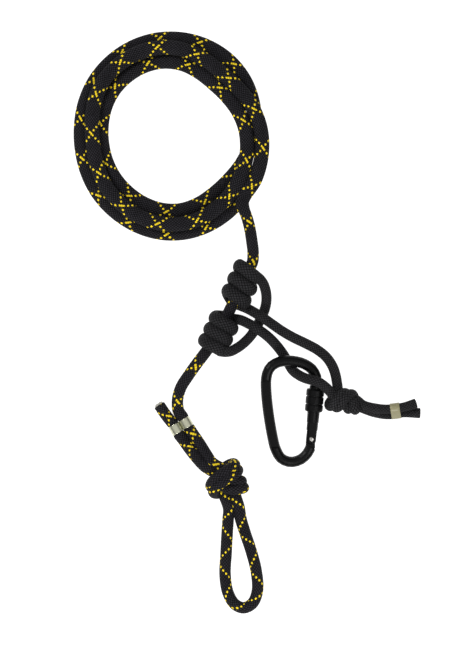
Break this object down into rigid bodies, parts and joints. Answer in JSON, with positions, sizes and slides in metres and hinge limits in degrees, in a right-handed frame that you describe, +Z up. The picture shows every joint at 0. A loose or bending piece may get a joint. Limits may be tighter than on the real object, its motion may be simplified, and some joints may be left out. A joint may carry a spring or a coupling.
{
  "type": "tree stand safety rope",
  "caption": "Loosely coiled safety rope with a knotted tie-in eye and a sliding friction hitch of cord that carries a locking carabiner.",
  "frame": {"origin": "on the floor that the rope lies on, under the middle of its bounding box", "axes": "+Y from the eye towards the coil, +X towards the friction cord's tails, +Z up from the floor"},
  "size_m": [0.3456, 0.5798, 0.0413],
  "materials": {
    "rope_sheath": "tight braided sheath with two yellow tracer yarns",
    "rope_core": "cut and singed fibre core",
    "crimp_metal": "plain plated, satin",
    "cord_sheath": "coarser braided sheath, matt",
    "pale_band": "shrunk tube, matt",
    "carabiner_metal": "black anodised, satin",
    "sleeve_metal": "black anodised, satin, with two turned grooves",
    "pin_steel": "plain"
  },
  "bodies": {
    "main_rope": {"rope_coil": "rope_sheath", "rope_run": "rope_sheath", "eye_knot_run_strand": "rope_sheath", "rope_eye": "rope_sheath", "eye_knot_tail_strand": "rope_sheath", "rope_tail": "rope_sheath", "rope_core_end": "rope_core", "crimp_run": "crimp_metal", "crimp_tail": "crimp_metal"},
    "prusik_loop": {"hitch_wraps_upper": "cord_sheath", "hitch_bridge": "cord_sheath", "hitch_wraps_lower": "cord_sheath", "loop_leg_upper": "cord_sheath", "loop_leg_lower": "cord_sheath", "loop_knot_strand_upper": "cord_sheath", "loop_knot_strand_lower": "cord_sheath", "loop_tail_upper": "cord_sheath", "loop_tail_lower": "cord_sheath", "tail_band": "pale_band"},
    "carabiner": {"carabiner_body": "carabiner_metal", "hinge_rivet": "pin_steel"},
    "gate": {"gate": "carabiner_metal", "latch_pin": "pin_steel", "gate_spring": "pin_steel"},
    "gate_plunger": {"gate_plunger": "pin_steel"},
    "sleeve_ring": {"sleeve_ring": "pin_steel"},
    "lock_sleeve": {"lock_sleeve": "sleeve_metal"}
  },
  "joints": [
    {"name": "prusik_slide", "type": "slide", "parent": "main_rope", "child": "prusik_loop", "axis": [-0.428, -0.9038, 0], "range_m": [0, 0.012]},
    {"name": "carabiner_swing", "type": "hinge", "parent": "prusik_loop", "child": "carabiner", "pos_m": [0.03877, -0.03617, 0.0048], "axis": [-0.6926, 0.5387, -0.4797], "range_deg": [0, 50]},
    {"name": "gate_hinge", "type": "hinge", "parent": "carabiner", "child": "gate", "pos_m": [0.06347, -0.11557, 0.00675], "axis": [0.0765, -0.0889, 0.9931], "range_deg": [0, 26], "stiffness_Nm_per_rad": 0.5, "springref_deg": -17.19, "deforming": ["gate_spring"]},
    {"name": "plunger_travel", "type": "slide", "parent": "gate", "child": "gate_plunger", "axis": [0.0869, 0.9928, 0.0822], "range_m": [0, 0.00095]},
    {"name": "sleeve_travel", "type": "slide", "parent": "gate", "child": "sleeve_ring", "axis": [0.0869, 0.9928, 0.0822], "range_m": [0, 0.004]},
    {"name": "sleeve_turn", "type": "hinge", "parent": "sleeve_ring", "child": "lock_sleeve", "pos_m": [0.06347, -0.11557, 0.00675], "axis": [0.0869, 0.9928, 0.0822], "range_deg": [0, 720]}
  ],
  "couplings": [
    {"joint": "plunger_travel", "follows": "gate_hinge", "m_per_rad": 0.002},
    {"joint": "sleeve_turn", "follows": "sleeve_travel", "rad_per_m": 3141.6}
  ]
}
